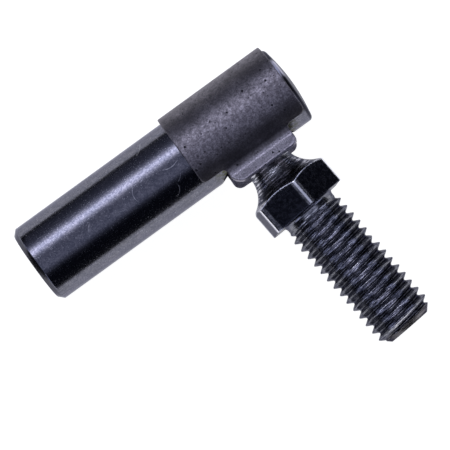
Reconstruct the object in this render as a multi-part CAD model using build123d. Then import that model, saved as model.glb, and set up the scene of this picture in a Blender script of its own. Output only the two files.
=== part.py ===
from build123d import *
import os
from math import sin, cos, tan, radians, sqrt

os.makedirs("parts", exist_ok=True)

# Angle ball joint, M10 x 1.5, lying on its side.
# +X runs along the turned body from its threaded rod end to its socket end,
# the stud points along -Y and leans a little towards +X, and +Z is up.
# The origin is at the middle of the joint's outline, on the surface it lies on.

# ---- driving dimensions, mm and degrees ----
# where the socket's axis crosses the body's axis
socket_x = 13.2
socket_y = 16.94

# turned body
body_r = 6.5
rod_end_x = -37.3            # from the socket's axis
socket_end_x = 10.9
rod_end_chamfer = 0.8
end_crown_r = 29.0           # the socket end is turned slightly domed
end_corner = 0.7

# tapped hole for the rod, at its minor diameter
bore_r = 4.25
bore_depth = 22.0
bore_mouth_r = 5.3
drill_tip = 59.0             # half angle

# ball and its pocket
ball_r = 5.5
ball_offset = 1.5            # the ball sits this far off the body's axis, towards the stud
pocket_r = 5.7
pocket_mouth_r = 6.9         # countersunk at the body's skin

# spring clip, rolled from sheet
clip_sheet = 0.72
clip_inner_r = 6.54
clip_x0 = -9.25
clip_x1 = 9.75
clip_open = 43.1             # half angle that the clip leaves open, from the stud side
tab_x0 = -5.5
tab_x1 = 6.2
tab_half_gap = 4.2
tab_root_r = 0.9             # bend where the wall turns down towards the neck, on its outside
tab_flare_s = 6.5            # where the lip starts to flare, from the body's axis
tab_flare = 28.0
tab_flare_r = 0.9
tab_end_s = 8.6
clip_corner = 1.0
tab_corner = 1.3

# ball stud, distances from the body's axis along the stud
stud_lean = 5.0
neck_r = 3.6
neck_fillet_s = 8.15
neck_fillet_r = 4.84
hex_s0 = 12.24
hex_s1 = 17.3
hex_af = 12.6
hex_turn = 22.0              # of a corner, from the body's side towards +Z
hex_chamfer = 30.0
blank_r = 4.42               # plain rolled blank under the hexagon
blank_s1 = 18.3
seat_fillet = 0.6            # where the blank meets the hexagon
thread_r = 5.0
tip_s = 41.0
tip_r = 3.5

# ---- derived ----
axis_z = clip_inner_r + clip_sheet                    # lies on the clip, with a corner of the hexagon just clear
home = Location((socket_x, socket_y, axis_z))


def cyl_x(r, x0, x1):
    """A cylinder along X."""
    return Plane(origin=(x0, 0, 0), z_dir=(1, 0, 0)) * Cylinder(
        r, x1 - x0, align=(Align.CENTER, Align.CENTER, Align.MIN)
    )


# ---- socket_body ----
crown = end_crown_r - sqrt(end_crown_r**2 - (body_r - end_corner) ** 2)
k = end_corner * (1 - sqrt(0.5))
with BuildPart() as body_b:
    with BuildSketch(Plane.XZ):
        with BuildLine():
            a = Line((rod_end_x, 0), (rod_end_x, body_r - rod_end_chamfer))
            b = Line(a @ 1, (rod_end_x + rod_end_chamfer, body_r))
            c = Line(b @ 1, (socket_end_x - crown - end_corner, body_r))
            d = ThreePointArc(
                c @ 1,
                (socket_end_x - crown - k, body_r - k),
                (socket_end_x - crown, body_r - end_corner),
            )
            half = (body_r - end_corner) / 2
            e = ThreePointArc(
                d @ 1,
                (socket_end_x - end_crown_r + sqrt(end_crown_r**2 - half**2), half),
                (socket_end_x, 0),
            )
            Line(e @ 1, a @ 0)
        make_face()
    revolve(axis=Axis.X)
body = body_b.part

bore_end = rod_end_x + bore_depth
mouth = bore_mouth_r - bore_r
tip_len = bore_r / tan(radians(drill_tip))
with BuildPart() as bore_b:
    with BuildSketch(Plane.XZ):
        with BuildLine():
            Polyline(
                (rod_end_x - 1, 0),
                (rod_end_x - 1, bore_mouth_r + 1),
                (rod_end_x + mouth, bore_r),
                (bore_end, bore_r),
                (bore_end + tip_len, 0),
                close=True,
            )
        make_face()
    revolve(axis=Axis.X)

# the pocket: a round-bottomed hole from the stud side, countersunk at its mouth
sink = pocket_mouth_r - pocket_r
with BuildPart() as pocket_b:
    with BuildSketch(Plane.XY):
        with BuildLine():
            y_c = -ball_offset
            p1 = ThreePointArc(
                (0, y_c + pocket_r),
                (pocket_r * sqrt(0.5), y_c + pocket_r * sqrt(0.5)),
                (pocket_r, y_c),
            )
            Polyline(
                p1 @ 1,
                (pocket_r, -body_r + sink),
                (pocket_mouth_r + 1, -body_r - 1),
                (0, -body_r - 1),
                (0, y_c + pocket_r),
            )
        make_face()
    revolve(axis=Axis.Y)
body = body - bore_b.part - pocket_b.part

# ---- retaining_clip ----
# Section across the body: S points to the stud (-Y), Z up. One wall is built and mirrored.
ro = clip_inner_r + clip_sheet
root_c_z = tab_half_gap + clip_sheet + tab_root_r
reach = ro + tab_root_r
root_c_s = sqrt(reach**2 - root_c_z**2)
ux, uz = root_c_s / reach, root_c_z / reach           # towards the bend's centre
fl = radians(tab_flare)
flare_c_z = tab_half_gap + clip_sheet + tab_flare_r
r_in, r_out = tab_flare_r + clip_sheet, tab_flare_r


def pt(s, z):
    return (-s, z)


def on_bend(cs, cz, r, turn):
    """A point on a bend that starts running along S, turned outwards by turn."""
    return pt(cs + r * sin(turn), cz - r * cos(turn))


def lip_end(r):
    """Where a flared face reaches the lip's end."""
    s0 = tab_flare_s + r * sin(fl)
    z0 = flare_c_z - r * cos(fl)
    run = (tab_end_s - clip_sheet * sin(fl) / 2 - s0) / cos(fl) if r == r_in else 0
    return s0, z0, run


top = radians(90)
with BuildPart() as wall_b:
    with BuildSketch(Plane.YZ.offset(tab_x0)):
        with BuildLine():
            # inside face, from the crown of the clip down to the lip
            i0 = pt(0, clip_inner_r)
            i1 = pt(clip_inner_r * ux, clip_inner_r * uz)
            mid = (i1[0] / 2 + i0[0] / 2, i1[1] / 2 + i0[1] / 2)
            ml = sqrt(mid[0] ** 2 + mid[1] ** 2)
            A = ThreePointArc(i0, (mid[0] * clip_inner_r / ml, mid[1] * clip_inner_r / ml), i1)
            # root bend, its inside face
            rb = tab_root_r + clip_sheet
            i2 = pt(root_c_s, tab_half_gap)
            mx, mz = -ux, 1 * -uz
            half_s, half_z = (-ux + 0) / 2, (-uz - 1) / 2
            hl = sqrt(half_s**2 + half_z**2)
            B = ThreePointArc(i1, pt(root_c_s + rb * half_s / hl, root_c_z + rb * half_z / hl), i2)
            i3 = pt(tab_flare_s, tab_half_gap)
            C = Line(i2, i3)
            i4 = on_bend(tab_flare_s, flare_c_z, r_in, fl)
            D = ThreePointArc(i3, on_bend(tab_flare_s, flare_c_z, r_in, fl / 2), i4)
            run = (tab_end_s - (-i4[0])) / cos(fl)
            i5 = pt(-i4[0] + run * cos(fl), i4[1] + run * sin(fl))
            E = Line(i4, i5)
            # across the sheet and back up the outside face
            o5 = pt(-i5[0] - clip_sheet * sin(fl), i5[1] + clip_sheet * cos(fl))
            F = Line(i5, o5)
            o4 = on_bend(tab_flare_s, flare_c_z, r_out, fl)
            G = Line(o5, o4)
            o3 = pt(tab_flare_s, tab_half_gap + clip_sheet)
            H = ThreePointArc(o4, on_bend(tab_flare_s, flare_c_z, r_out, fl / 2), o3)
            o2 = pt(root_c_s, tab_half_gap + clip_sheet)
            I = Line(o3, o2)
            o1 = pt(ro * ux, ro * uz)
            J = ThreePointArc(
                o2,
                pt(root_c_s + tab_root_r * half_s / hl, root_c_z + tab_root_r * half_z / hl),
                o1,
            )
            o0 = pt(0, ro)
            mid = (o1[0] / 2 + o0[0] / 2, o1[1] / 2 + o0[1] / 2)
            ml = sqrt(mid[0] ** 2 + mid[1] ** 2)
            K = ThreePointArc(o1, (mid[0] * ro / ml, mid[1] * ro / ml), o0)
            Line(o0, i0)
        make_face()
    extrude(amount=tab_x1 - tab_x0)
wall = wall_b.part
if wall.bounding_box().max.X < tab_x1 - 0.01:
    wall = Pos(tab_x1 - tab_x0, 0, 0) * wall

# the lip's corners are rounded in the blank
corner_cut = None
for xc, sgn in ((tab_x0, 1), (tab_x1, -1)):
    block = Pos(xc, -tab_end_s, 0) * Box(2 * tab_corner, 2 * tab_corner, 30)
    pin = Pos(xc + sgn * tab_corner, -(tab_end_s - tab_corner), 0) * Cylinder(tab_corner, 40)
    cut = block - pin
    corner_cut = cut if corner_cut is None else corner_cut + cut
wall = wall - corner_cut

# the rolled sleeve, open on the stud side, with rounded corners beside the opening
sleeve = cyl_x(ro, clip_x0, clip_x1) - cyl_x(clip_inner_r, clip_x0 - 1, clip_x1 + 1)
o = radians(clip_open)
w = 20.0
wedge_face = Polyline(
    (0, 0, 0), (0, -w * cos(o), w * sin(o)), (0, -2 * w, 0), (0, -w * cos(o), -w * sin(o)), (0, 0, 0)
)
wedge = Pos(clip_x0 - 1, 0, 0) * extrude(make_face(wedge_face), amount=clip_x1 - clip_x0 + 2, dir=(1, 0, 0))
sleeve = sleeve - wedge
corners = [
    ed
    for ed in sleeve.edges()
    if abs(ed.length - clip_sheet) < 0.02
    and ed.geom_type == GeomType.LINE
    and abs(ed.center().X - clip_x0) + abs(ed.center().X - clip_x1) < clip_x1 - clip_x0 + 0.01
]
sleeve = fillet(corners, clip_corner)

other = mirror(wall, about=Plane.XY)
clip = sleeve + wall + other
roots = [
    ed
    for ed in clip.edges()
    if ed.geom_type == GeomType.LINE
    and abs(ed.length - clip_sheet) < 0.05
    and ed.center().Y < -3
    and (abs(ed.center().X - tab_x0) < 0.01 or abs(ed.center().X - tab_x1) < 0.01)
    and sqrt(ed.center().Y ** 2 + ed.center().Z ** 2) < ro
]
print("clip root edges", len(roots))
try:
    clip = fillet(roots, 0.8)
except Exception as err:
    print("root fillet left out:", err)

# ---- ball_stud ----
lean = radians(stud_lean)
stud_plane = Plane(
    origin=(0, -ball_offset, 0),
    x_dir=(cos(lean), sin(lean), 0),
    z_dir=(sin(lean), -cos(lean), 0),
)
s0 = ball_offset / cos(lean)                          # the ball's centre, along the stud


def h(s):
    return s - s0


fil_end_r = neck_r + neck_fillet_r - sqrt(neck_fillet_r**2 - (hex_s0 - neck_fillet_s) ** 2)
mid_s = neck_fillet_s + 0.6 * (hex_s0 - neck_fillet_s)
mid_r = neck_r + neck_fillet_r - sqrt(neck_fillet_r**2 - (mid_s - neck_fillet_s) ** 2)
ball_join = sqrt(ball_r**2 - neck_r**2)
with BuildPart() as turned_b:
    with BuildSketch(Plane.XZ):
        with BuildLine():
            q = radians(10)
            a1 = ThreePointArc((0, -ball_r), (ball_r * cos(q), ball_r * sin(q)), (neck_r, ball_join))
            a2 = Line(a1 @ 1, (neck_r, h(neck_fillet_s)))
            a3 = ThreePointArc(a2 @ 1, (mid_r, h(mid_s)), (fil_end_r, h(hex_s0)))
            Polyline(a3 @ 1, (fil_end_r, h(hex_s0) + 1), (0, h(hex_s0) + 1), (0, -ball_r))
        make_face()
    revolve(axis=Axis.Z)
turned = turned_b.part

hexagon = extrude(
    Pos(0, 0, h(hex_s0)) * Rot(0, 0, hex_turn) * RegularPolygon(hex_af / 2, 6, major_radius=False),
    amount=hex_s1 - hex_s0,
)
grow = 12.0
cone = Pos(0, 0, h(hex_s0)) * Cone(
    fil_end_r, fil_end_r + grow / tan(radians(hex_chamfer)), grow,
    align=(Align.CENTER, Align.CENTER, Align.MIN),
)
hexagon = hexagon & cone

tip_ch = thread_r - tip_r
shank = Pos(0, 0, h(hex_s1) - 1) * Cylinder(
    blank_r, blank_s1 - hex_s1 + 2, align=(Align.CENTER, Align.CENTER, Align.MIN)
)
with BuildPart() as root_b:
    with BuildSketch(Plane.XZ):
        with BuildLine():
            z0 = h(hex_s1)
            k = seat_fillet * (1 - sqrt(0.5))
            g1 = ThreePointArc(
                (blank_r + seat_fillet, z0), (blank_r + k, z0 + k), (blank_r, z0 + seat_fillet)
            )
            Polyline(g1 @ 1, (0, z0 + seat_fillet), (0, z0 - 1), (blank_r + seat_fillet, z0 - 1), g1 @ 0)
        make_face()
    revolve(axis=Axis.Z)
shank = shank + root_b.part
run_out = Pos(0, 0, h(blank_s1)) * Cone(
    blank_r, thread_r, 0.5, align=(Align.CENTER, Align.CENTER, Align.MIN)
)
full = Pos(0, 0, h(blank_s1) + 0.5) * Cylinder(
    thread_r, tip_s - tip_ch - blank_s1 - 0.5, align=(Align.CENTER, Align.CENTER, Align.MIN)
)
tip = Pos(0, 0, h(tip_s - tip_ch)) * Cone(
    thread_r, tip_r, tip_ch, align=(Align.CENTER, Align.CENTER, Align.MIN)
)
stud = stud_plane.location * (turned + hexagon + shank + run_out + full + tip)

for name, solid in (("socket_body", body), ("retaining_clip", clip), ("ball_stud", stud)):
    placed = home * solid
    export_step(placed, f"parts/{name}.step")
    bb = placed.bounding_box()
    print(name, len(placed.solids()), round(placed.volume, 1), bb.min, bb.max)
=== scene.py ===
import math

import bmesh
import bpy
import numpy as np
from mathutils import Matrix, Vector


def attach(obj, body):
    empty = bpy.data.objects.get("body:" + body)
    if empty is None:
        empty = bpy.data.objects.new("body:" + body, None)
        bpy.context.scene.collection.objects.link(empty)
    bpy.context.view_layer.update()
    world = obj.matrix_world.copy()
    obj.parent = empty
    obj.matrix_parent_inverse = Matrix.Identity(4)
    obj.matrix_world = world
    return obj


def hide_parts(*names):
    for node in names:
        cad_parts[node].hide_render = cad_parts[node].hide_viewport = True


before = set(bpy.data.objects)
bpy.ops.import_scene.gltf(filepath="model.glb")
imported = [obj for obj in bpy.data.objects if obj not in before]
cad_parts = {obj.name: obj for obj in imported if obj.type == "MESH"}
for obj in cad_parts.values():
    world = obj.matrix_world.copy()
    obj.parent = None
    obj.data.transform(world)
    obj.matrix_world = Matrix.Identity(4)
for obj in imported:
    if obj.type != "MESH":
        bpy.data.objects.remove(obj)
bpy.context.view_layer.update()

scene = bpy.context.scene
MM = 0.001

# ------------------------------------------------------------------ dimensions
# millimetres; x from the socket's axis, s along the stud from the body's axis
HOME = np.array([13.2, 16.94, 7.26])
LEAN = math.radians(5.0)
D = np.array([math.sin(LEAN), -math.cos(LEAN), 0.0])     # along the stud
E1 = np.array([math.cos(LEAN), math.sin(LEAN), 0.0])     # across it, towards +X
E2 = np.array([0.0, 0.0, 1.0])
BALL_OFF = 1.5
S0 = BALL_OFF / math.cos(LEAN)

BODY_R = 6.5
ROD_X = -37.3
END_X = 10.9
PITCH = 1.5


def smooth(t):
    t = np.clip(t, 0, 1)
    return t * t * (3 - 2 * t)


# ------------------------------------------------------------------ mesh helpers
def make_object(name, verts_mm, faces, sharp=None, merge=2e-4):
    """A closed mesh from points in millimetres; near-equal points are welded."""
    bm = bmesh.new()
    vs = [bm.verts.new((float(p[0]), float(p[1]), float(p[2]))) for p in verts_mm]
    bm.verts.ensure_lookup_table()
    for f in faces:
        idx = []
        for i in f:
            if not idx or i != idx[-1]:
                idx.append(i)
        if idx[0] == idx[-1]:
            idx.pop()
        if len(set(idx)) >= 3:
            try:
                bm.faces.new([vs[i] for i in idx])
            except ValueError:
                pass
    if merge:
        bmesh.ops.remove_doubles(bm, verts=bm.verts, dist=merge)
        bmesh.ops.dissolve_degenerate(bm, edges=bm.edges, dist=merge * 0.5)
    loose = [v for v in bm.verts if not v.link_faces]
    if loose:
        bmesh.ops.delete(bm, geom=loose, context="VERTS")
    bmesh.ops.recalc_face_normals(bm, faces=bm.faces)
    return finish_bmesh(name, bm, sharp)


def finish_bmesh(name, bm, sharp):
    me = bpy.data.meshes.new(name)
    bm.to_mesh(me)
    bm.free()
    me.transform(Matrix.Scale(MM, 4))
    ob = bpy.data.objects.new(name, me)
    scene.collection.objects.link(ob)
    me.polygons.foreach_set("use_smooth", [True] * len(me.polygons))
    if sharp is not None:
        me.set_sharp_from_angle(angle=math.radians(sharp))
    return ob


def edge_report(ob):
    bm = bmesh.new()
    bm.from_mesh(ob.data)
    bad = sum(1 for e in bm.edges if len(e.link_faces) != 2)
    vol = bm.calc_volume(signed=True) * 1e9
    tris = sum(len(f.verts) - 2 for f in bm.faces)
    bm.free()
    print("MESH", ob.name, "open or shared edges", bad, "volume mm3", round(vol, 1), "triangles", tris)


def helical_rows(smin, smax, knots):
    """Row positions before the helix is added: the same knots in every pitch."""
    turns = int(math.ceil((smax - smin) / PITCH)) + 1
    return np.array([smin - PITCH + (k + f) * PITCH for k in range(turns + 1) for f in knots])


# ------------------------------------------------------------------ ball stud
HEX_S0, HEX_S1, HEX_A = 12.24, 17.3, 6.3
NECK_R, FIL_S, FIL_R = 3.6, 8.15, 4.84
FIL_END = NECK_R + FIL_R - math.sqrt(FIL_R**2 - (HEX_S0 - FIL_S) ** 2)
BLANK_R, BLANK_S1, TIP_S, TIP_R = 4.42, 18.3, 41.0, 3.5
HEX_TURN = 22.0
HEX_RC = 0.62
CREST_S = 22.3                                            # a crest on the +X side


def hex_r(theta):
    d = (np.degrees(theta) - HEX_TURN + 30.0) % 60.0 - 30.0
    d = np.radians(np.abs(d))
    flat = HEX_A / np.cos(math.radians(30) - d)
    dc = (HEX_A - HEX_RC) / math.cos(math.radians(30))
    lim = math.atan2(HEX_RC * 0.5, dc + HEX_RC * math.cos(math.radians(30)))
    inside = np.clip(HEX_RC**2 - (dc * np.sin(d)) ** 2, 0, None)
    rnd = dc * np.cos(d) + np.sqrt(inside)
    return np.where(d <= lim, rnd, flat)


def wobble(t, seed, n=6, lo=0.3, hi=1.6):
    """Smooth repeatable noise of about -1..1 along t."""
    rng = np.random.RandomState(seed)
    f = rng.uniform(lo, hi, n)
    p = rng.uniform(0, 2 * math.pi, n)
    return sum(np.sin(t * a + b) for a, b in zip(f, p)) / math.sqrt(n)


# rolled thread: distance from the crest's middle, and the radius there
TH_X = np.array([0.0, 0.045, 0.085, 0.125, 0.165, 0.30, 0.47, 0.57, 0.64, 0.75])
TH_R = np.array([4.965, 5.0, 4.985, 4.93, 4.86, 4.64, 4.345, 4.19, 4.115, 4.08])
DENTS = [(4.0, 26.85, 0.30, 16.0, 0.5), (172.0, 24.5, 0.10, 10.0, 0.4), (-6.0, 35.8, 0.10, 9.0, 0.4),
         (176.0, 33.7, 0.13, 10.0, 0.4), (95.0, 29.1, 0.08, 7.0, 0.35), (60.0, 36.7, 0.10, 8.0, 0.35),
         (125.0, 38.4, 0.12, 9.0, 0.4), (-70.0, 31.0, 0.15, 12.0, 0.4), (-120.0, 26.2, 0.12, 9.0, 0.4),
         (80.0, 24.0, 0.06, 6.0, 0.3), (230.0, 37.0, 0.12, 10.0, 0.4)]


def thread_r(s, theta):
    turn = (s - CREST_S) / PITCH - theta / (2 * math.pi)
    p = turn - np.round(turn)
    x = np.abs(p) * PITCH
    r = np.interp(x, TH_X, TH_R)
    along = 2 * math.pi * np.round(turn) + theta
    top = np.clip((r - 4.45) / 0.5, 0, 1) ** 2
    r = r - top * (0.035 + 0.03 * wobble(along, 11) + 0.012 * wobble(along, 12, 6, 3.0, 9.0))
    for ang, at, deep, wide, tall in DENTS:
        da = (np.degrees(theta) - ang + 180) % 360 - 180
        k = np.exp(-(da / wide) ** 2 - ((s - at) / tall) ** 2)
        r = r - deep * k * np.clip((r - 4.3) / 0.6, 0, 1)
    g = smooth((s - BLANK_S1) / 1.1)
    r = BLANK_R + g * (r - BLANK_R)
    taper = TIP_R + (TIP_S - s) * 1.0
    return np.minimum(r, taper)


def build_stud():
    cols = list(np.arange(0, 360, 2.0))
    lim = math.degrees(math.atan2(HEX_RC * 0.5, (HEX_A - HEX_RC) / math.cos(math.radians(30)) + HEX_RC * 0.866))
    for k in range(6):
        c = (HEX_TURN + 60 * k) % 360
        cols = [a for a in cols if abs((a - c + 180) % 360 - 180) > lim + 0.35]
        cols += [(c + f * lim) % 360 for f in (-1.25, -1, -0.8, -0.6, -0.4, -0.2, 0, 0.2, 0.4, 0.6, 0.8, 1, 1.25)]
    cols = np.radians(np.array(sorted(cols)))
    n = len(cols)
    rho = hex_r(cols)

    rings = []                                            # each: (s array, r array)

    def ring(s, r):
        rings.append((np.broadcast_to(np.asarray(s, float), (n,)).copy(),
                      np.broadcast_to(np.asarray(r, float), (n,)).copy()))

    # ball, from its far pole
    join = math.acos(math.sqrt(5.5**2 - NECK_R**2) / 5.5)
    for t in np.linspace(math.pi, join, 40)[1:]:
        ring(S0 + 5.5 * math.cos(t), 5.5 * math.sin(t))
    ring(6.6, NECK_R)
    ring(7.5, NECK_R)
    for s in np.linspace(FIL_S, HEX_S0 - 0.04, 22):
        ring(s, NECK_R + FIL_R - math.sqrt(FIL_R**2 - (s - FIL_S) ** 2))
    # chamfer cone to the flats, with a slightly worn edge
    tan30 = math.tan(math.radians(30))
    edge_s = HEX_S0 + (rho - FIL_END) * tan30
    for f in (0.0, 0.35, 0.7):
        r = FIL_END + (rho - FIL_END - 0.11) * f
        ring(HEX_S0 + (r - FIL_END) * tan30, r)
    ring(edge_s - 0.11 * tan30, rho - 0.11)
    ring(edge_s - 0.028, rho - 0.036)
    ring(edge_s + 0.03, rho - 0.011)
    ring(edge_s + 0.10, rho)
    for f in (0.33, 0.66):
        ring(edge_s + 0.10 + (HEX_S1 - 0.12 - edge_s - 0.10) * f, rho)
    ring(HEX_S1 - 0.12, rho)
    ring(HEX_S1 - 0.035, rho - 0.03)
    ring(HEX_S1, rho - 0.12)
    # washer face is plain, with the fillet into the rolled blank
    for r in (5.9, 5.4, 5.02):
        ring(HEX_S1, np.minimum(rho - 0.2, r) if r > 5.5 else r)
    for a in (22.5, 45.0, 67.5):
        k = math.radians(a)
        ring(HEX_S1 + 0.6 * (1 - math.cos(k)), BLANK_R + 0.6 * (1 - math.sin(k)))
    ring(HEX_S1 + 0.6, BLANK_R)
    ring(BLANK_S1, BLANK_R)

    verts, faces = [], []

    def point(s, r, th):
        return HOME + np.array([0, -BALL_OFF, 0]) + (s - S0) * D + r * (math.cos(th) * E1 + math.sin(th) * E2)

    verts.append(point(S0 - 5.5, 0, 0))
    base = 1
    for s, r in rings:
        for i in range(n):
            verts.append(point(s[i], r[i], cols[i]))
    for i in range(n):
        faces.append((0, base + (i + 1) % n, base + i))
    for j in range(len(rings) - 1):
        a, b = base + j * n, base + (j + 1) * n
        for i in range(n):
            k = (i + 1) % n
            faces.append((a + i, a + k, b + k, b + i))
    last = base + (len(rings) - 1) * n

    # thread, its rows following the helix
    knots = list(TH_X / PITCH) + [1 - x / PITCH for x in TH_X[-2:0:-1]]
    phase = ((CREST_S - BLANK_S1) / PITCH) % 1.0
    rows = helical_rows(BLANK_S1 + (phase - 2) * PITCH, TIP_S + PITCH, knots)
    rows = np.concatenate([[BLANK_S1 - 2 * PITCH], rows])
    cc = np.concatenate([cols, [cols[0] + 2 * math.pi]])
    S = rows[:, None] + PITCH * cc[None, :] / (2 * math.pi)
    S = np.clip(S, BLANK_S1, TIP_S)
    Rr = thread_r(S, np.broadcast_to(cc[None, :], S.shape))
    t0 = len(verts)
    m = len(cc)
    for j in range(len(rows)):
        for i in range(m):
            verts.append(point(S[j, i], Rr[j, i], cc[i]))
    for j in range(len(rows) - 1):
        if S[j].max() <= BLANK_S1 and S[j + 1].max() <= BLANK_S1:
            continue
        if S[j].min() >= TIP_S:
            break
        a, b = t0 + j * m, t0 + (j + 1) * m
        for i in range(m - 1):
            q = (S[j, i], S[j, i + 1], S[j + 1, i + 1], S[j + 1, i])
            if max(q) - min(q) < 1e-9:
                continue
            faces.append((a + i, a + i + 1, b + i + 1, b + i))
    # end face
    cap0 = len(verts)
    for r in (TIP_R, 2.3, 1.1):
        for i in range(n):
            verts.append(point(TIP_S, r, cols[i]))
    verts.append(point(TIP_S, 0, 0))
    for j in range(2):
        a, b = cap0 + j * n, cap0 + (j + 1) * n
        for i in range(n):
            k = (i + 1) % n
            faces.append((a + i, a + k, b + k, b + i))
    for i in range(n):
        faces.append((cap0 + 2 * n + i, cap0 + 2 * n + (i + 1) % n, len(verts) - 1))
    return make_object("threaded_ball_stud", verts, faces, sharp=32, merge=1.5e-4)


# ------------------------------------------------------------------ socket body
def body_thread(x, theta):
    """Radius of the tapped hole; x from the socket's axis."""
    turn = (x - (ROD_X + 1.0)) / PITCH - theta / (2 * math.pi)
    p = np.abs(turn - np.round(turn)) * PITCH
    root = np.interp(p, [0.0, 0.05, 0.10, 0.52, 0.60, 0.75], [5.0, 4.99, 4.94, 4.28, 4.25, 4.25])
    g = 1 - smooth((x - (ROD_X + 17.0)) / 2.2)
    r = 4.25 + g * (root - 4.25)
    return np.maximum(r, 5.3 - (x - ROD_X))


def build_body():
    n = 160
    th = np.arange(n) * 2 * math.pi / n
    prof = []                                             # (x, r) outside, socket end first
    crown = 29.0 - math.sqrt(29.0**2 - 5.8**2)
    for r in np.linspace(0, 5.8, 14)[1:]:
        prof.append((END_X - 29.0 + math.sqrt(29.0**2 - r * r), r))
    for a in np.radians(np.arange(12, 91, 6.5)):
        prof.append((END_X - crown - 0.7 + 0.7 * math.cos(a), 5.8 + 0.7 * math.sin(a)))
    prof.append((END_X - crown - 0.7, 6.5))
    for x in np.linspace(END_X - crown - 0.7, ROD_X + 0.86, 60)[1:]:
        prof.append((x, 6.5))
    for x, r in ((0.80, 6.485), (0.74, 6.44), (0.40, 6.10), (0.07, 5.77), (0.02, 5.715), (0.0, 5.66), (0.0, 5.3)):
        prof.append((ROD_X + x, r))
    verts, faces = [], []

    def point(x, r, t):
        return HOME + np.array([x, -r * math.sin(t), r * math.cos(t)])

    verts.append(point(END_X, 0, 0))
    for x, r in prof:
        for t in th:
            verts.append(point(x, r, t))
    for i in range(n):
        faces.append((0, 1 + i, 1 + (i + 1) % n))
    for j in range(len(prof) - 1):
        a, b = 1 + j * n, 1 + (j + 1) * n
        for i in range(n):
            k = (i + 1) % n
            faces.append((a + i, b + i, b + k, a + k))
    # tapped hole; its helix runs the same way round as the stud's
    knots = [0.0, 0.05 / 1.5, 0.10 / 1.5, 0.3 / 1.5, 0.52 / 1.5, 0.60 / 1.5, 0.5,
             1 - 0.60 / 1.5, 1 - 0.52 / 1.5, 1 - 0.3 / 1.5, 1 - 0.10 / 1.5, 1 - 0.05 / 1.5]
    x_min, x_max = ROD_X, ROD_X + 19.5
    base = ROD_X + 1.0
    lo = int(math.floor((x_min - PITCH - base) / PITCH)) - 1
    hi = int(math.ceil((x_max - base) / PITCH)) + 1
    rows = np.array(sorted((base + (k + f) * PITCH) for k in range(lo, hi) for f in knots))
    cc = np.concatenate([th, [2 * math.pi]])
    # t runs from +Z towards -Y; seen along +X that is the left-hand way, so the helix takes -t
    X = rows[:, None] - PITCH * cc[None, :] / (2 * math.pi) + PITCH
    X = np.clip(X, x_min, x_max)
    R = body_thread(X, -np.broadcast_to(cc[None, :], X.shape))
    t0, m = len(verts), n + 1
    for j in range(len(rows)):
        for i in range(m):
            verts.append(point(X[j, i], R[j, i], cc[i]))
    for j in range(len(rows) - 1):
        a, b = t0 + j * m, t0 + (j + 1) * m
        for i in range(n):
            q = (X[j, i], X[j, i + 1], X[j + 1, i + 1], X[j + 1, i])
            if max(q) - min(q) < 1e-9:
                continue
            faces.append((a + i, b + i, b + i + 1, a + i + 1))
    # plain hole below the thread, and the drill point
    low = [(x_max, 4.25), (ROD_X + 20.8, 4.25), (ROD_X + 22.0, 4.25)]
    tip = 4.25 / math.tan(math.radians(59))
    low += [(ROD_X + 22.0 + tip * f, 4.25 * (1 - f)) for f in (0.3, 0.6, 0.85)]
    l0 = len(verts)
    for x, r in low:
        for t in th:
            verts.append(point(x, r, t))
    verts.append(point(ROD_X + 22.0 + tip, 0, 0))
    for j in range(len(low) - 1):
        a, b = l0 + j * n, l0 + (j + 1) * n
        for i in range(n):
            k = (i + 1) % n
            faces.append((a + i, b + i, b + k, a + k))
    a = l0 + (len(low) - 1) * n
    for i in range(n):
        faces.append((a + i, len(verts) - 1, a + (i + 1) % n))
    body = make_object("tapped_socket_body", verts, faces, sharp=None, merge=1.5e-4)

    # the pocket is bored from the stud side and countersunk
    cut_prof = [(5.7 * math.sin(a), BALL_OFF - 5.7 * math.cos(a)) for a in np.radians(np.linspace(0, 90, 24))][1:]
    cut_prof += [(5.7, 3.4), (5.7, 5.3), (6.9, 6.5), (7.9, 7.5)]
    m = 144
    cv, cf = [HOME + np.array([0, -(BALL_OFF - 5.7), 0])], []
    for r, s in cut_prof:
        for i in range(m):
            t = 2 * math.pi * (i + 0.37) / m
            cv.append(HOME + np.array([r * math.cos(t), -s, r * math.sin(t)]))
    cv.append(HOME + np.array([0, -7.5, 0]))
    for i in range(m):
        cf.append((0, 1 + i, 1 + (i + 1) % m))
    for j in range(len(cut_prof) - 1):
        a, b = 1 + j * m, 1 + (j + 1) * m
        for i in range(m):
            k = (i + 1) % m
            cf.append((a + i, b + i, b + k, a + k))
    a = 1 + (len(cut_prof) - 1) * m
    for i in range(m):
        cf.append((a + i, len(cv) - 1, a + (i + 1) % m))
    cutter = make_object("cutter", cv, cf, merge=1e-4)
    # the boolean works at a larger scale, where its tolerance is small against the facets
    for ob in (body, cutter):
        ob.data.transform(Matrix.Scale(1000, 4))
    mod = body.modifiers.new("pocket", "BOOLEAN")
    mod.operation, mod.object, mod.solver = "DIFFERENCE", cutter, "EXACT"
    dg = bpy.context.evaluated_depsgraph_get()
    me = bpy.data.meshes.new_from_object(body.evaluated_get(dg), depsgraph=dg)
    body.modifiers.clear()
    me.transform(Matrix.Scale(MM, 4))
    old = body.data
    body.data = me
    bpy.data.meshes.remove(old)
    bpy.data.objects.remove(cutter)
    bm = bmesh.new()
    bm.from_mesh(me)
    bmesh.ops.remove_doubles(bm, verts=bm.verts, dist=2e-7)
    bmesh.ops.dissolve_degenerate(bm, edges=bm.edges, dist=1e-7)
    bm.to_mesh(me)
    bm.free()
    me.polygons.foreach_set("use_smooth", [True] * len(me.polygons))
    me.set_sharp_from_angle(angle=math.radians(30))
    return body


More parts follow.
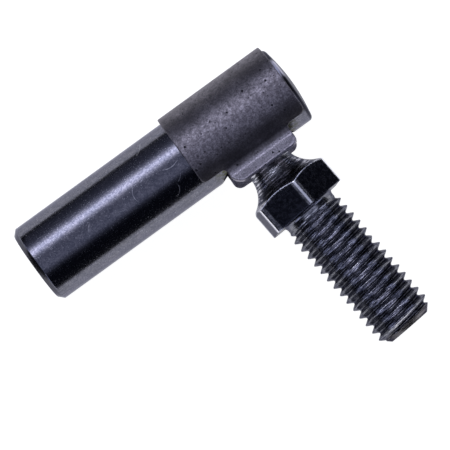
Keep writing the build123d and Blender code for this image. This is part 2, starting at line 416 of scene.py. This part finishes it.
# ------------------------------------------------------------------ spring clip
SHEET = 0.72
CL_IN = 6.54
CL_MID = CL_IN + SHEET / 2
X0, X1 = -9.25, 9.75
TX0, TX1 = -5.5, 6.2
ROOT_CS, ROOT_CZ = math.sqrt((CL_IN + SHEET + 0.9) ** 2 - 5.82**2), 5.82
BETA = math.atan2(ROOT_CZ, ROOT_CS)                       # where the arc meets the bend
FLARE = math.radians(28.0)
L1 = CL_MID * (math.pi - BETA)
RB = 0.9 + SHEET / 2
TURN = math.pi / 2 - BETA                                 # from the arc down to the straight
L2 = RB * TURN
L3 = 6.5 - ROOT_CS
L4 = RB * FLARE
L5 = (8.6 - (6.5 + (0.9 + SHEET) * math.sin(FLARE))) / math.cos(FLARE)
U_END = L1 + L2 + L3 + L4 + L5
U_EDGE = CL_MID * (math.pi - math.radians(43.1))


def clip_section(u, w):
    """(s, z) of the sheet at u along its section from the crown, w out from its middle."""
    side = 1.0 if u >= 0 else -1.0
    u = abs(u)
    if u <= L1:
        a = math.pi - u / CL_MID
        s, z = (CL_MID + w) * math.cos(a), (CL_MID + w) * math.sin(a)
    elif u <= L1 + L2:
        a = math.pi + BETA + (u - L1) / RB
        s, z = ROOT_CS + (RB - w) * math.cos(a), ROOT_CZ + (RB - w) * math.sin(a)
    elif u <= L1 + L2 + L3:
        s, z = ROOT_CS + (u - L1 - L2), 4.2 + SHEET / 2 + w
    elif u <= L1 + L2 + L3 + L4:
        a = 1.5 * math.pi + (u - L1 - L2 - L3) / RB
        s, z = 6.5 + (RB - w) * math.cos(a), 5.82 + (RB - w) * math.sin(a)
    else:
        a = 1.5 * math.pi + FLARE
        k = u - L1 - L2 - L3 - L4
        s = 6.5 + (RB - w) * math.cos(a) + k * math.cos(FLARE)
        z = 5.82 + (RB - w) * math.sin(a) + k * math.sin(FLARE)
    return s, z * side


def arc_pts(cx, cy, r, a0, a1, n):
    return [(cx + r * math.cos(math.radians(a0 + (a1 - a0) * i / n)),
             cy + r * math.sin(math.radians(a0 + (a1 - a0) * i / n))) for i in range(n + 1)]


def build_clip():
    c, f = 1.0, 0.8
    def half_blank(tx0, tl, tr):
        """One half of the blank, +u, from -x to +x."""
        h = arc_pts(X0 + c, U_EDGE - c, c, 180, 90, 8)
        h += arc_pts(tx0 - f, U_EDGE + f, f, -90, 0, 7)
        h += arc_pts(tx0 + tl, U_END - tl, tl, 180, 90, 12)
        h += arc_pts(TX1 - tr, U_END - tr, tr, 90, 0, 9)
        h += arc_pts(TX1 + f, U_EDGE + f, f, 180, 270, 7)
        h += arc_pts(X1 - c, U_EDGE - c, c, 90, 0, 8)
        return h

    half, far = half_blank(TX0 + 0.25, 2.0, 1.15), half_blank(TX0, 1.3, 1.3)
    loop = half + [(x, -u) for x, u in reversed(far)]
    # long straight runs get points of their own
    pts = []
    for i, p in enumerate(loop):
        q = loop[(i + 1) % len(loop)]
        d = math.hypot(q[0] - p[0], q[1] - p[1])
        k = max(1, int(round(d / 0.55)))
        if d < 1e-6:
            continue
        for j in range(k):
            pts.append((p[0] + (q[0] - p[0]) * j / k, p[1] + (q[1] - p[1]) * j / k))
    P = np.array(pts)
    nrm = []
    m = len(P)
    for i in range(m):
        a, b = P[i - 1], P[(i + 1) % m]
        d = b - a
        d = d / np.linalg.norm(d)
        nrm.append((-d[1], d[0]))
    Nn = np.array(nrm)
    area = 0.5 * np.sum(P[:, 0] * np.roll(P[:, 1], -1) - np.roll(P[:, 0], -1) * P[:, 1])
    if area < 0:
        Nn = -Nn                                          # now pointing inwards
    # sheared edge: rolled over outside, sharper inside, a little uneven
    per = np.cumsum(np.linalg.norm(P - np.roll(P, 1, axis=0), axis=1))
    uneven = 0.014 * wobble(per, 31, 6, 0.5, 2.2) + 0.006 * wobble(per, 32, 6, 3.0, 8.0)
    layers = [(0.36, 0.20), (0.345, 0.11), (0.30, 0.045), (0.23, 0.0), (0.05, 0.0), (-0.16, 0.012), (-0.315, 0.02), (-0.36, 0.07)]
    bm = bmesh.new()
    loops = []
    for w, inset in layers:
        off = inset + np.clip(uneven, -0.012, 0.03)
        Q = P + Nn * off[:, None]
        loops.append([bm.verts.new((q[0], q[1], w)) for q in Q])
    for a, b in zip(loops[:-1], loops[1:]):
        for i in range(m):
            k = (i + 1) % m
            bm.faces.new((a[i], a[k], b[k], b[i]))
    bm.faces.new(loops[0])
    bm.faces.new(loops[-1])
    bmesh.ops.recalc_face_normals(bm, faces=bm.faces)
    stations = list(np.arange(0.001, L1, 0.30)) + list(L1 + np.linspace(0, L2, 9)) + [L1 + L2 + L3 * 0.5]
    stations += list(L1 + L2 + L3 + np.linspace(0, L4, 7)) + [L1 + L2 + L3 + L4 + L5 * 0.4, L1 + L2 + L3 + L4 + L5 * 0.8]
    cuts = sorted(set([round(v, 6) for v in stations] + [round(-v, 6) for v in stations]))
    for u in cuts:
        bmesh.ops.bisect_plane(bm, geom=bm.verts[:] + bm.edges[:] + bm.faces[:], dist=1e-6, plane_co=(0, u, 0), plane_no=(0, 1, 0))
    for x in np.arange(X0 + 0.75, X1 - 0.3, 0.95):
        bmesh.ops.bisect_plane(bm, geom=bm.verts[:] + bm.edges[:] + bm.faces[:], dist=1e-6, plane_co=(float(x), 0, 0), plane_no=(1, 0, 0))
    for v in bm.verts:
        x, u, w = v.co
        s, z = clip_section(u, w)
        v.co = Vector((HOME[0] + x, HOME[1] - s, HOME[2] + z))
    bmesh.ops.recalc_face_normals(bm, faces=bm.faces)
    if bm.calc_volume(signed=True) < 0:
        bmesh.ops.reverse_faces(bm, faces=bm.faces)
    return finish_bmesh("spring_retaining_clip", bm, 38)


stud = build_stud()
body = build_body()
clip = build_clip()
for ob in (stud, body, clip):
    edge_report(ob)
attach(body, "body")
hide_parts("socket_body")
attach(clip, "clip")
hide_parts("retaining_clip")
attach(stud, "stud")
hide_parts("ball_stud")


# ------------------------------------------------------------------ materials
class Nodes:
    """Short names for building a node tree."""

    def __init__(self, tree):
        self.t = tree

    def new(self, kind, **props):
        n = self.t.nodes.new(kind)
        for k, v in props.items():
            setattr(n, k, v)
        return n

    def put(self, sock, v):
        if isinstance(v, bpy.types.NodeSocket):
            self.t.links.new(v, sock)
        elif v is not None:
            sock.default_value = v

    def math(self, op, a, b=None, clamp=False):
        n = self.new("ShaderNodeMath", operation=op, use_clamp=clamp)
        self.put(n.inputs[0], a)
        if b is not None:
            self.put(n.inputs[1], b)
        return n.outputs[0]

    def rng(self, v, a, b, c=0.0, d=1.0, smooth=True):
        n = self.new("ShaderNodeMapRange", interpolation_type="SMOOTHSTEP" if smooth else "LINEAR")
        self.put(n.inputs["Value"], v)
        for k, x in zip(("From Min", "From Max", "To Min", "To Max"), (a, b, c, d)):
            n.inputs[k].default_value = x
        return n.outputs["Result"]

    def mix(self, fac, a, b, mode="MIX"):
        n = self.new("ShaderNodeMix", data_type="RGBA", blend_type=mode)
        self.put(n.inputs[0], fac)
        self.put(n.inputs[6], a)
        self.put(n.inputs[7], b)
        return n.outputs[2]

    def noise(self, vec, scale, detail=3.0, rough=0.5, dist=0.0):
        n = self.new("ShaderNodeTexNoise")
        self.put(n.inputs["Vector"], vec)
        n.inputs["Scale"].default_value = scale
        n.inputs["Detail"].default_value = detail
        n.inputs["Roughness"].default_value = rough
        n.inputs["Distortion"].default_value = dist
        return n.outputs["Fac"]

    def voronoi(self, vec, scale, rnd=1.0):
        n = self.new("ShaderNodeTexVoronoi")
        self.put(n.inputs["Vector"], vec)
        n.inputs["Scale"].default_value = scale
        n.inputs["Randomness"].default_value = rnd
        return n.outputs["Distance"]

    def mapping(self, vec, loc=(0, 0, 0), rot=(0, 0, 0), scale=(1, 1, 1), kind="POINT"):
        n = self.new("ShaderNodeMapping", vector_type=kind)
        self.put(n.inputs["Vector"], vec)
        n.inputs["Location"].default_value = loc
        n.inputs["Rotation"].default_value = rot
        n.inputs["Scale"].default_value = scale
        return n.outputs["Vector"]

    def split(self, vec):
        n = self.new("ShaderNodeSeparateXYZ")
        self.put(n.inputs[0], vec)
        return n.outputs

    def join(self, x, y, z):
        n = self.new("ShaderNodeCombineXYZ")
        for s, v in zip(n.inputs, (x, y, z)):
            self.put(s, v)
        return n.outputs[0]

    def bump(self, height, distance, strength=1.0, normal=None):
        n = self.new("ShaderNodeBump")
        self.put(n.inputs["Height"], height)
        n.inputs["Distance"].default_value = distance
        n.inputs["Strength"].default_value = strength
        if normal is not None:
            self.put(n.inputs["Normal"], normal)
        return n.outputs["Normal"]


def material(name, metallic, tint=None):
    m = bpy.data.materials.new(name)
    m.use_nodes = True
    m.node_tree.nodes.clear()
    g = Nodes(m.node_tree)
    out = g.new("ShaderNodeOutputMaterial")
    p = g.new("ShaderNodeBsdfPrincipled")
    g.t.links.new(p.outputs["BSDF"], out.inputs["Surface"])
    p.inputs["Metallic"].default_value = metallic
    if tint:
        p.inputs["Specular Tint"].default_value = (*tint, 1.0)
    co = g.new("ShaderNodeTexCoord").outputs["Object"]
    mm = g.mapping(co, loc=tuple(-h for h in HOME), scale=(1000, 1000, 1000))
    return m, g, p, mm


def rgb(r, g, b):
    return (r, g, b, 1.0)


def zinc_body():
    m, g, p, mm = material("zinc_body_look", 1.0, (0.62, 0.62, 0.68))
    x, y, z = g.split(mm)[:3]
    up = g.math("SUBTRACT", 0.0, y)
    ang = g.math("ARCTAN2", up, z)                        # 0 on top, + towards the stud
    v = g.math("MULTIPLY", ang, BODY_R)
    flat = g.join(x, v, 0.0)
    blotch = g.noise(mm, 0.9, 4, 0.6)
    mottle = g.noise(mm, 3.2, 4, 0.65)
    speck = g.noise(mm, 5.0, 3, 0.6)
    grain = g.noise(g.mapping(flat, scale=(0.35, 7.0, 1)), 1.0, 3, 0.6)
    col = g.mix(g.rng(blotch, 0.35, 0.65), rgb(0.150, 0.152, 0.190), rgb(0.205, 0.202, 0.242))
    col = g.mix(g.rng(mottle, 0.42, 0.60, 0.0, 0.75), col, rgb(0.095, 0.098, 0.135))
    col = g.mix(g.rng(speck, 0.56, 0.68, 0.0, 0.85), col, rgb(0.34, 0.34, 0.39))
    side = g.rng(g.math("ABSOLUTE", ang), 0.65, 0.95)
    gr = g.math("MULTIPLY", g.rng(grain, 0.35, 0.68, 0.0, 0.65), side)
    col = g.mix(gr, col, rgb(0.105, 0.105, 0.115))
    # painted shade and reflection of the clip's lips, greenish and patchy, round the socket's mouth and along the
    # clip's open edges
    dx = g.math("ABSOLUTE", g.math("SUBTRACT", x, 0.4))
    near = g.math("MULTIPLY", g.rng(dx, 6.0, 8.2, 1.0, 0.0), g.rng(up, 3.4, 5.0))
    painted_lip_shade = g.math("MULTIPLY", near, g.rng(g.noise(mm, 1.6, 3, 0.6), 0.36, 0.62))
    # painted shade: darkens the body where the clip's lips shade it and show in it
    col = g.mix(g.math("MULTIPLY", painted_lip_shade, 0.8), col, rgb(0.075, 0.078, 0.022))
    # curved hairline scratches: (x, v, radius, from, to)
    # painted shade on the end face and its corner, which show dark at a grazing angle, with a painted highlight stretch
    # on the corner
    end = g.rng(x, 9.55, 9.95)
    painted_end_highlight = g.math("MULTIPLY", g.rng(g.math("ABSOLUTE", g.math("ADD", ang, 0.42)), 0.16, 0.34, 1.0, 0.0), g.rng(x, 10.25, 10.5, 1.0, 0.0))
    painted_end_shade_and_highlight = g.mix(painted_end_highlight, rgb(0.022, 0.022, 0.028), rgb(0.50, 0.49, 0.60))
    # painted shade on the end face, painted highlight on its corner
    col = g.mix(g.math("MULTIPLY", end, 0.93), col, painted_end_shade_and_highlight)
    rodend = g.rng(x, -36.75, -36.45, 1.0, 0.0)
    col = g.mix(g.math("MULTIPLY", rodend, 0.8), col, rgb(0.05, 0.05, 0.055))
    scratch = None
    for cx, cv, r, a0, a1, wd in ((-11.6, -2.3, 2.6, 60, 125, 0.05), (-17.0, 0.9, 1.9, 150, 235, 0.05),
                                  (-12.6, 1.2, 1.6, 20, 75, 0.045), (-13.9, 3.2, 1.5, -15, 80, 0.05),
                                  (-30.0, 0.6, 2.2, 250, 300, 0.04), (-20.6, -1.5, 3.0, 95, 128, 0.04),
                                  (-24.5, 2.6, 3.4, 200, 232, 0.04), (-16.0, -7.0, 2.5, 10, 70, 0.04),
                                  (-27.0, 9.0, 3.0, 120, 170, 0.05), (-14.0, 13.0, 2.0, 30, 110, 0.05)):
        px, pv = g.math("SUBTRACT", x, cx), g.math("SUBTRACT", v, cv)
        rr = g.math("SQRT", g.math("ADD", g.math("MULTIPLY", px, px), g.math("MULTIPLY", pv, pv)))
        line = g.rng(g.math("ABSOLUTE", g.math("SUBTRACT", rr, r)), wd * 0.4, wd * 1.7, 1.0, 0.0)
        mid = math.radians((a0 + a1) / 2)
        cosd = g.math("DIVIDE", g.math("ADD", g.math("MULTIPLY", px, math.cos(mid)), g.math("MULTIPLY", pv, math.sin(mid))), rr)
        lim = math.cos(math.radians((a1 - a0) / 2))
        line = g.math("MULTIPLY", line, g.rng(cosd, lim - 0.03, min(0.999, lim + 0.10)))
        scratch = line if scratch is None else g.math("MAXIMUM", scratch, line)
    scratch = g.math("MULTIPLY", scratch, g.rng(g.noise(mm, 3.0, 2), 0.3, 0.6, 0.35, 1.0))
    hair = g.noise(g.mapping(flat, rot=(0, 0, 0.9), scale=(9.0, 0.8, 1)), 1.0, 2, 0.5, 0.6)
    hair = g.math("MULTIPLY", g.rng(hair, 0.71, 0.78), 0.5)
    lines = g.math("MAXIMUM", scratch, hair)
    col = g.mix(g.math("MULTIPLY", lines, 0.75), col, rgb(0.52, 0.52, 0.58))
    g.put(p.inputs["Base Color"], col)
    ro = g.math("ADD", g.rng(mottle, 0.3, 0.7, 0.15, 0.23), g.rng(speck, 0.55, 0.75, 0.0, 0.14))
    ro = g.math("ADD", g.math("ADD", ro, g.math("MULTIPLY", lines, 0.25)), g.math("MULTIPLY", end, 0.16))
    g.put(p.inputs["Roughness"], ro)
    # end faces carry lathe rings, the outside a fine pitted plate
    rad = g.math("SQRT", g.math("ADD", g.math("MULTIPLY", y, y), g.math("MULTIPLY", z, z)))
    rings = g.noise(g.join(g.math("MULTIPLY", rad, 9.0), 0.0, 0.0), 1.0, 3, 0.6)
    wave = g.noise(mm, 0.7, 2, 0.5)
    fine = g.noise(mm, 9.0, 3, 0.6)
    nrm = g.bump(wave, 0.012 * MM)
    nrm = g.bump(rings, 0.004 * MM, 1.0, nrm)
    nrm = g.bump(grain, 0.0028 * MM, 1.0, nrm)
    nrm = g.bump(fine, 0.0014 * MM, 1.0, nrm)
    nrm = g.bump(lines, -0.006 * MM, 1.0, nrm)
    g.put(p.inputs["Normal"], nrm)
    return m


def phosphate_clip():
    m, g, p, mm = material("phosphate_clip_look", 0.82, (0.9, 0.88, 0.95))
    cloud = g.noise(mm, 0.32, 4, 0.6, 0.4)
    mottle = g.noise(mm, 1.7, 5, 0.65)
    speck = g.noise(mm, 7.0, 3, 0.7)
    col = g.mix(g.rng(cloud, 0.34, 0.66), rgb(0.105, 0.098, 0.112), rgb(0.195, 0.184, 0.212))
    col = g.mix(g.rng(mottle, 0.44, 0.62, 0.0, 0.6), col, rgb(0.070, 0.066, 0.075))
    col = g.mix(g.rng(speck, 0.52, 0.72, 0.0, 0.5), col, rgb(0.235, 0.222, 0.262))
    # painted highlight along its crown and on the lips, painted shade towards the open side
    cx_, cy_, cz_ = g.split(mm)[:3]
    up_ = g.math("SUBTRACT", 0.0, cy_)
    ang_ = g.math("ARCTAN2", up_, g.math("ABSOLUTE", cz_))
    painted_highlight_band = g.math("MULTIPLY", g.rng(ang_, -0.60, 0.02), g.rng(ang_, 0.16, 0.58, 1.0, 0.0))
    painted_highlight_band = g.math("MULTIPLY", painted_highlight_band, g.rng(cloud, 0.25, 0.6, 0.7, 1.0))
    # painted highlight: a lighter band across the crown
    col = g.mix(g.math("MULTIPLY", painted_highlight_band, 0.72), col, g.mix(g.rng(mottle, 0.38, 0.60), rgb(0.46, 0.43, 0.49), rgb(0.26, 0.24, 0.28)))
    # painted highlight on the flared lips
    painted_lip_highlight = g.rng(up_, 5.95, 6.45)
    col = g.mix(g.math("MULTIPLY", painted_lip_highlight, 0.88), col, g.mix(g.rng(speck, 0.4, 0.7), rgb(0.40, 0.38, 0.445), rgb(0.54, 0.52, 0.60)))
    # painted shade towards the open side, next to the lips
    painted_open_side_shade = g.math("MULTIPLY", g.rng(ang_, 0.38, 0.66), g.rng(up_, 5.6, 6.1, 1.0, 0.0))
    col = g.mix(g.math("MULTIPLY", painted_open_side_shade, 0.45), col, rgb(0.060, 0.056, 0.062))
    grain = g.noise(mm, 4.2, 3, 0.7)
    col = g.mix(g.rng(grain, 0.42, 0.60, 0.5, 0.0), col, rgb(0.045, 0.042, 0.050))
    # small dark pits, and a few longer nicks
    d = g.voronoi(g.mapping(mm, rot=(0.3, 0.2, 0.4), scale=(1, 1, 1)), 0.85)
    pick = g.rng(g.noise(mm, 0.85, 1), 0.42, 0.52)
    pit = g.math("MULTIPLY", g.rng(d, 0.10, 0.20, 1.0, 0.0), pick)
    small = g.math("MULTIPLY", g.rng(g.voronoi(mm, 1.7), 0.10, 0.20, 1.0, 0.0), g.rng(g.noise(mm, 1.3, 1), 0.48, 0.60, 0.0, 0.8))
    nick = g.noise(g.mapping(mm, rot=(0, 0, -0.35), scale=(0.9, 4.5, 4.5)), 1.0, 2, 0.5)
    nick = g.rng(nick, 0.735, 0.79, 0.0, 0.8)
    pits = g.math("MAXIMUM", g.math("MAXIMUM", pit, small), nick)
    col = g.mix(pits, col, rgb(0.022, 0.021, 0.026))
    g.put(p.inputs["Base Color"], col)
    g.put(p.inputs["Roughness"], g.math("ADD", g.rng(mottle, 0.3, 0.7, 0.40, 0.52), g.math("MULTIPLY", pits, 0.2)))
    nrm = g.bump(cloud, 0.02 * MM)
    nrm = g.bump(mottle, 0.016 * MM, 1.0, nrm)
    nrm = g.bump(speck, 0.005 * MM, 1.0, nrm)
    nrm = g.bump(pits, -0.03 * MM, 1.0, nrm)
    g.put(p.inputs["Normal"], nrm)
    return m


def zinc_stud():
    m, g, p, mm = material("zinc_stud_look", 1.0, (0.34, 0.34, 0.38))
    # local axes: across the stud, along it, up
    loc = g.mapping(mm, rot=(0, 0, -LEAN))
    x, y, z = g.split(loc)[:3]
    s = g.math("SUBTRACT", 0.0, y)
    rad = g.math("SQRT", g.math("ADD", g.math("MULTIPLY", x, x), g.math("MULTIPLY", z, z)))
    mottle = g.noise(mm, 1.8, 4, 0.6)
    speck = g.noise(mm, 7.0, 3, 0.65)
    # tool rings run round the stud; the coordinate along it is the fast one
    ring = g.noise(g.join(g.math("MULTIPLY", x, 0.40), g.math("MULTIPLY", s, 4.2), g.math("MULTIPLY", z, 0.40)), 1.0, 3, 0.65)
    ring2 = g.noise(g.join(g.math("MULTIPLY", x, 0.9), g.math("MULTIPLY", s, 4.0), g.math("MULTIPLY", z, 0.9)), 1.0, 2, 0.5)
    col = g.mix(g.rng(mottle, 0.35, 0.65), rgb(0.135, 0.140, 0.172), rgb(0.185, 0.188, 0.225))
    col = g.mix(g.rng(speck, 0.5, 0.72, 0.0, 0.5), col, rgb(0.27, 0.27, 0.31))
    neck = g.math("MULTIPLY", g.rng(s, 12.0, 12.5, 1.0, 0.0), 1.0)
    col = g.mix(g.math("MULTIPLY", neck, 0.55), col, rgb(0.090, 0.094, 0.105))
    # real turning rings on the neck, painted bright as painted highlight streaks
    col = g.mix(g.math("MULTIPLY", g.rng(ring, 0.50, 0.60), neck), col, rgb(0.72, 0.72, 0.80))
    # hexagon: flats painted near-black as painted reflection, corners and chamfer edge painted bright as painted
    # highlights
    inhex = g.math("MULTIPLY", g.rng(s, 12.3, 12.5), g.rng(s, 17.35, 17.55, 1.0, 0.0))
    flat = g.math("MULTIPLY", g.rng(rad, 6.1, 6.25), inhex)
    # painted reflection: the flats are painted near-black
    col = g.mix(g.math("MULTIPLY", flat, 0.75), col, rgb(0.060, 0.064, 0.095))
    painted_corner_highlight = g.math("MULTIPLY", g.rng(rad, 6.90, 7.02), inhex)
    past = g.math("SUBTRACT", s, g.math("ADD", g.math("MULTIPLY", g.math("SUBTRACT", rad, FIL_END), math.tan(math.radians(30))), HEX_S0))
    painted_chamfer_highlight = g.math("MULTIPLY", g.rng(past, 0.10, 0.20, 1.0, 0.0), g.rng(rad, 6.12, 6.28))
    painted_chamfer_highlight = g.math("MULTIPLY", painted_chamfer_highlight, g.rng(mottle, 0.38, 0.55, 0.35, 1.0))
    # painted highlights on the hex corners and chamfer edge
    col = g.mix(g.math("MAXIMUM", g.math("MULTIPLY", painted_corner_highlight, 0.95), painted_chamfer_highlight), col, rgb(0.90, 0.90, 0.97))
    # thread: painted shade in the roots, painted highlight streaks along the rolled crests
    thread = g.rng(s, 17.4, 18.2)
    crest_highlight_streak = g.noise(g.join(g.math("MULTIPLY", x, 0.7), g.math("MULTIPLY", s, 7.0), g.math("MULTIPLY", z, 0.7)), 1.0, 3, 0.7)
    # painted highlight: bright streaks along the crests
    painted_thread_light = g.mix(g.rng(crest_highlight_streak, 0.44, 0.60), rgb(0.15, 0.155, 0.19), rgb(0.74, 0.74, 0.80))
    # painted shade: the thread is painted darker towards its sides
    painted_thread_light = g.mix(g.rng(g.math("ABSOLUTE", x), 1.9, 3.4, 0.0, 0.72), painted_thread_light, rgb(0.11, 0.113, 0.128))
    col = g.mix(thread, col, painted_thread_light)
    # painted shade in the thread roots
    deep = g.math("MULTIPLY", g.rng(rad, 4.10, 4.30, 1.0, 0.0), thread)
    col = g.mix(g.math("MULTIPLY", deep, 0.80), col, rgb(0.030, 0.031, 0.040))
    tipm = g.rng(s, 39.7, 40.2)
    lathe = g.noise(g.join(0.0, g.math("MULTIPLY", s, 8.0), g.math("MULTIPLY", rad, 3.0)), 1.0, 2, 0.6)
    tipc = g.mix(g.rng(lathe, 0.45, 0.6), rgb(0.045, 0.043, 0.045), rgb(0.22, 0.21, 0.22))
    col = g.mix(g.math("MULTIPLY", tipm, 0.92), col, tipc)
    g.put(p.inputs["Base Color"], col)
    g.put(p.inputs["Roughness"], g.rng(mottle, 0.3, 0.7, 0.20, 0.30))
    faces = g.rng(rad, 5.2, 6.0)
    nrm = g.bump(g.noise(mm, 0.9, 2, 0.5), 0.006 * MM)
    k = g.math("MULTIPLY", ring, g.math("SUBTRACT", 1.0, faces))
    nrm = g.bump(k, 0.030 * MM, 1.0, nrm)
    nrm = g.bump(g.math("MULTIPLY", ring2, g.math("SUBTRACT", 1.0, faces)), 0.012 * MM, 1.0, nrm)
    nrm = g.bump(speck, 0.0015 * MM, 1.0, nrm)
    g.put(p.inputs["Normal"], nrm)
    return m


looks = {"socket_body": zinc_body(), "retaining_clip": phosphate_clip(), "ball_stud": zinc_stud()}
for ob, key in ((body, "socket_body"), (clip, "retaining_clip"), (stud, "ball_stud")):
    ob.data.materials.clear()
    ob.data.materials.append(looks[key])
for key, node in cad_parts.items():
    node.data.materials.clear()
    node.data.materials.append(looks[key])

# ------------------------------------------------------------------ floor and light
bpy.ops.mesh.primitive_circle_add(vertices=128, radius=0.11, fill_type="NGON", location=(0.003, 0.005, -0.00002))
floor = bpy.context.object
floor.name = "floor"
fm = bpy.data.materials.new("floor_look")
fm.use_nodes = True
fm.node_tree.nodes.clear()
g = Nodes(fm.node_tree)
out = g.new("ShaderNodeOutputMaterial")
fp = g.new("ShaderNodeBsdfPrincipled")
fp.inputs["Base Color"].default_value = (0.50, 0.50, 0.47, 1.0)
fp.inputs["Roughness"].default_value = 0.9
fp.inputs["Specular IOR Level"].default_value = 0.0
fp.inputs["Emission Color"].default_value = (1.0, 1.0, 1.0, 1.0)
fp.inputs["Emission Strength"].default_value = 0.93
g.t.links.new(fp.outputs["BSDF"], out.inputs["Surface"])
floor.data.materials.append(fm)

world = bpy.data.worlds.new("studio")
scene.world = world
world.use_nodes = True
world.node_tree.nodes.clear()
g = Nodes(world.node_tree)
wout = g.new("ShaderNodeOutputWorld")
bg = g.new("ShaderNodeBackground")
g.t.links.new(bg.outputs[0], wout.inputs[0])
dirv = g.new("ShaderNodeTexCoord").outputs["Generated"]
wx, wy, wz = g.split(dirv)[:3]
ay = g.math("ARCTAN2", wy, wz)                            # 0 overhead, + towards +Y
ay = g.math("DIVIDE", g.math("ADD", g.math("MULTIPLY", ay, 180 / math.pi), 180.0), 360.0)
STOPS = [(-180, 0.0), (-46, 0.0), (-39, 0.02), (-32, 0.16), (-24, 0.42), (-12, 0.46), (2, 0.34), (14, 0.34), (17, 0.60),
         (21, 1.2), (25, 2.3), (30, 3.8), (36, 3.5), (41, 1.5), (48, 0.45), (57, 0.15), (75, 0.09), (110, 0.09), (180, 0.05)]
rp = g.new("ShaderNodeValToRGB")
g.put(rp.inputs[0], ay)
els = rp.color_ramp.elements
TOP = 5.0
while len(els) > 1:
    els.remove(els[0])
for i, (a, v) in enumerate(STOPS):
    e = els[0] if i == 0 else els.new((a + 180) / 360)
    e.position = (a + 180) / 360
    e.color = (v / TOP, v / TOP, v / TOP, 1.0)
ax = g.math("MULTIPLY", g.math("ARCTAN2", wx, wz), 180 / math.pi)
win = g.rng(g.math("ABSOLUTE", ax), 24.0, 40.0, 1.0, 0.0)
lum = g.math("MULTIPLY", g.math("MULTIPLY", rp.outputs[0], TOP), win)
tone = g.mix(g.rng(lum, 0.0, 1.2), rgb(0.80, 0.86, 1.15), rgb(0.93, 0.95, 1.12))
diag = g.math("MULTIPLY", g.rng(g.math("ABSOLUTE", wx), 0.44, 0.60), g.rng(g.math("ABSOLUTE", wy), 0.40, 0.56))
diag = g.math("MULTIPLY", diag, g.rng(wz, 0.02, 0.12))
lum = g.math("ADD", lum, g.math("MULTIPLY", diag, 1.1))
amb = g.mix(1.0, tone, lum, "MULTIPLY")
amb = g.mix(1.0, amb, rgb(0.004, 0.005, 0.010), "ADD")
lp = g.new("ShaderNodeLightPath").outputs["Is Camera Ray"]
g.put(bg.inputs["Color"], g.mix(lp, amb, rgb(0.96, 0.96, 0.96)))
bg.inputs["Strength"].default_value = 1.0

# ------------------------------------------------------------------ camera
cam_data = bpy.data.cameras.new("camera")
cam_data.sensor_width = 36.0
cam_data.lens = 236.0
cam_data.clip_start, cam_data.clip_end = 0.02, 10.0
cam = bpy.data.objects.new("camera", cam_data)
scene.collection.objects.link(cam)
TILT = math.radians(3.0)
target = Vector((0.00297, 0.00514, 0.00726))
back = Vector((0.0, -math.sin(TILT), math.cos(TILT)))
right = Vector((0.8092, -0.5875, 0.0))
right = (right - back * right.dot(back)).normalized()
up = back.cross(right)
rot = Matrix((right, up, back)).transposed()
cam.matrix_world = Matrix.Translation(target + back * 0.450) @ rot.to_4x4()
scene.camera = cam
scene.view_settings.view_transform = "Standard"
